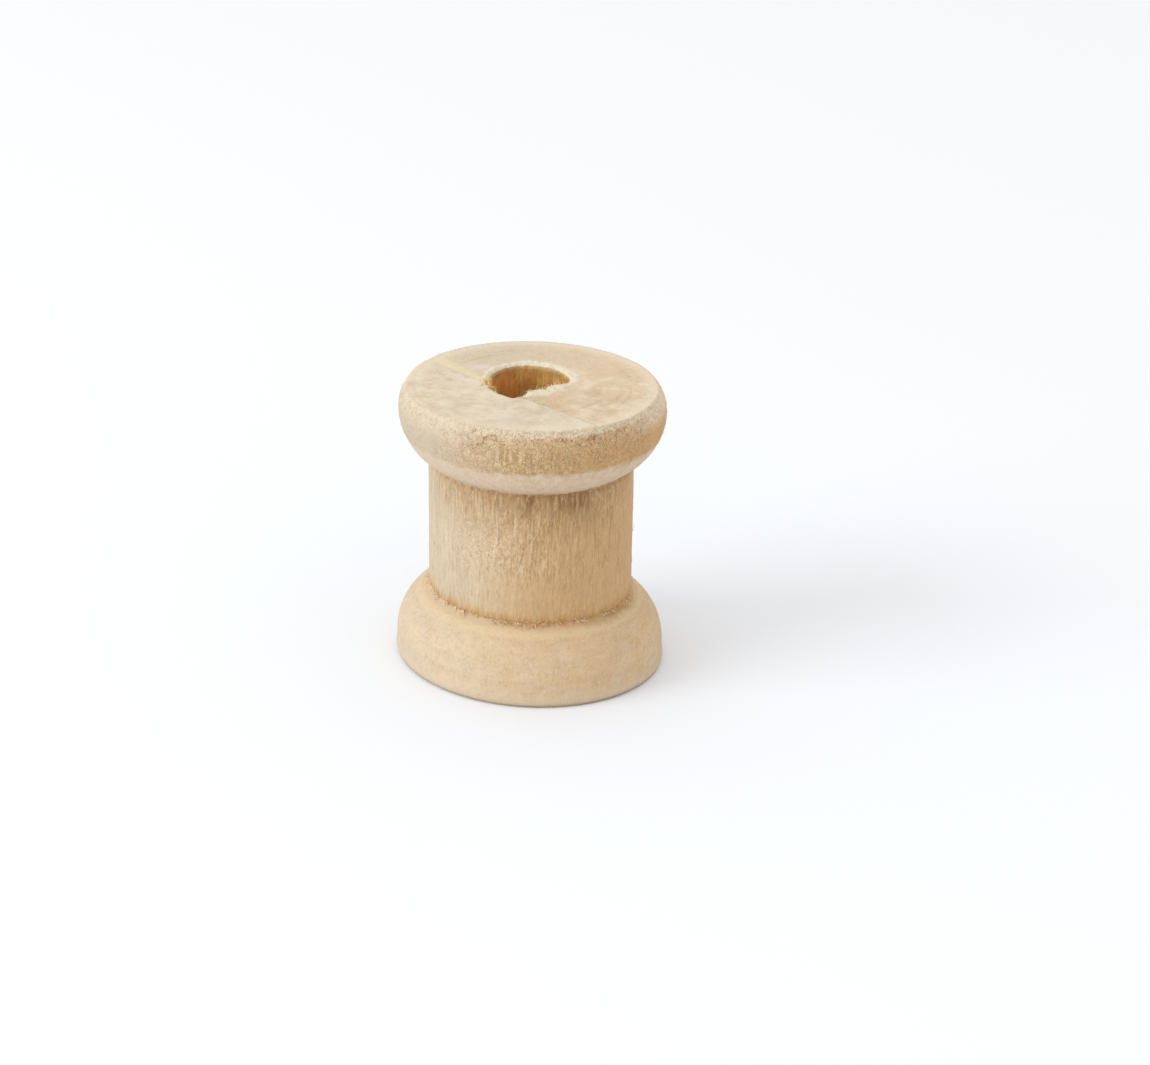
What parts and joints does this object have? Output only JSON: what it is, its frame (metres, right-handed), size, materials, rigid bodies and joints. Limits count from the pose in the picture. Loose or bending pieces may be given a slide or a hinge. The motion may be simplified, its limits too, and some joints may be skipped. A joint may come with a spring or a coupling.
{
  "type": "wooden spool",
  "caption": "Bare turned wooden spool with two rounded flanges, a stout straight barrel to wind thread on, and a bore right through for a spool pin.",
  "frame": {"origin": "centre of the lower end face, on the bore's axis, where the spool stands", "axes": "+Z along the bore towards the upper end face; the spool is round, so X and Y are any two directions across it"},
  "size_m": [0.014, 0.014, 0.015],
  "materials": {
    "wood": "bare turned pale hardwood, unsanded and unvarnished, with torn end grain and raised fibres"
  },
  "bodies": {
    "root": {"spool_body": "wood"}
  },
  "joints": []
}
